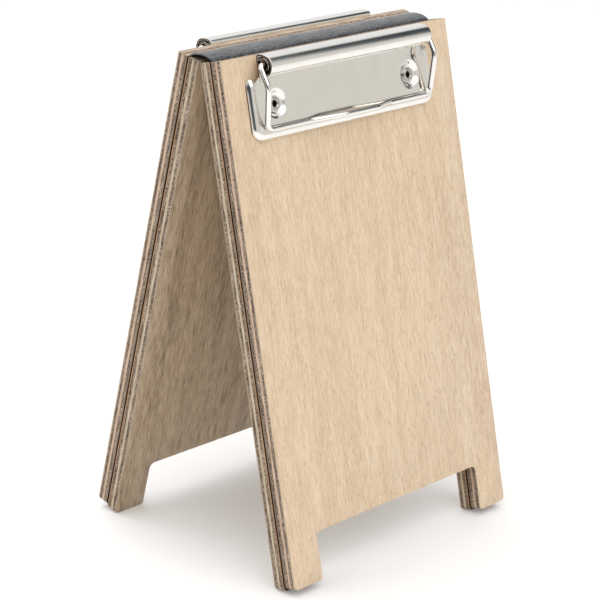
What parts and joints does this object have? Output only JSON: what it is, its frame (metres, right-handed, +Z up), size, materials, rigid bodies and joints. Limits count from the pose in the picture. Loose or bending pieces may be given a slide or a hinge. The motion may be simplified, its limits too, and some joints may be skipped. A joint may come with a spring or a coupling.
{
  "type": "tabletop menu holder",
  "caption": "Small tent-shaped tabletop menu holder: plywood leaves joined along the top by a leatherette strap hinge, each with a rolled board clip and sprung wire bail.",
  "frame": {"origin": "on the table, under the middle of the holder", "axes": "+Z up, X across the leaves, front leaf towards -Y and back leaf towards +Y"},
  "size_m": [0.127, 0.1162, 0.2043],
  "materials": {
    "face_veneer": "long-grain face veneer, fine straight grain, satin clear finish",
    "crossband": "end-grain crossband, grey-brown and speckled at the sawn edge",
    "inner_core": "cream long-grain core ply, sawn edge",
    "outer_core": "pinkish long-grain core ply, sawn edge",
    "adhesive": "dark brown adhesive sheet, set back in the seam",
    "strap": "dark grey leatherette, fine pebbled grain, soft sheen",
    "clip_plate": "nickel-plated pressed sheet steel, smooth satin",
    "clip_wire": "nickel-plated spring wire, bright",
    "rivet": "nickel-plated tubular rivet, bright"
  },
  "bodies": {
    "front_leaf": {"front_inner_panel_back_veneer": "face_veneer", "front_inner_panel_back_crossband": "crossband", "front_inner_panel_core": "inner_core", "front_inner_panel_face_crossband": "crossband", "front_inner_panel_face_veneer": "face_veneer", "front_outer_panel_back_veneer": "face_veneer", "front_outer_panel_back_crossband": "crossband", "front_outer_panel_core": "outer_core", "front_outer_panel_face_crossband": "crossband", "front_outer_panel_face_veneer": "face_veneer", "front_glue_sheet": "adhesive", "front_clip_plate": "clip_plate", "front_left_rivet": "rivet", "front_right_rivet": "rivet", "hinge_strap": "strap"},
    "back_leaf": {"back_inner_panel_back_veneer": "face_veneer", "back_inner_panel_back_crossband": "crossband", "back_inner_panel_core": "inner_core", "back_inner_panel_face_crossband": "crossband", "back_inner_panel_face_veneer": "face_veneer", "back_outer_panel_back_veneer": "face_veneer", "back_outer_panel_back_crossband": "crossband", "back_outer_panel_core": "outer_core", "back_outer_panel_face_crossband": "crossband", "back_outer_panel_face_veneer": "face_veneer", "back_glue_sheet": "adhesive", "back_clip_plate": "clip_plate", "back_left_rivet": "rivet", "back_right_rivet": "rivet"},
    "front_bail": {"front_clip_bail": "clip_wire"},
    "back_bail": {"back_clip_bail": "clip_wire"}
  },
  "joints": [
    {"name": "leaf_fold", "type": "hinge", "parent": "front_leaf", "child": "back_leaf", "pos_m": [0, 0, 0.20064], "axis": [1, 0, 0], "range_deg": [-26.2, 63.8], "deforming": ["hinge_strap"]},
    {"name": "front_bail_hinge", "type": "hinge", "parent": "front_leaf", "child": "front_bail", "pos_m": [-0.0021, -0.01777, 0.20055], "axis": [-1, 0, 0], "range_deg": [0, 75], "stiffness_Nm_per_rad": 0.06, "springref_deg": -40.11},
    {"name": "back_bail_hinge", "type": "hinge", "parent": "back_leaf", "child": "back_bail", "pos_m": [0.0006, 0.01777, 0.20055], "axis": [1, 0, 0], "range_deg": [0, 75], "stiffness_Nm_per_rad": 0.06, "springref_deg": -40.11}
  ]
}
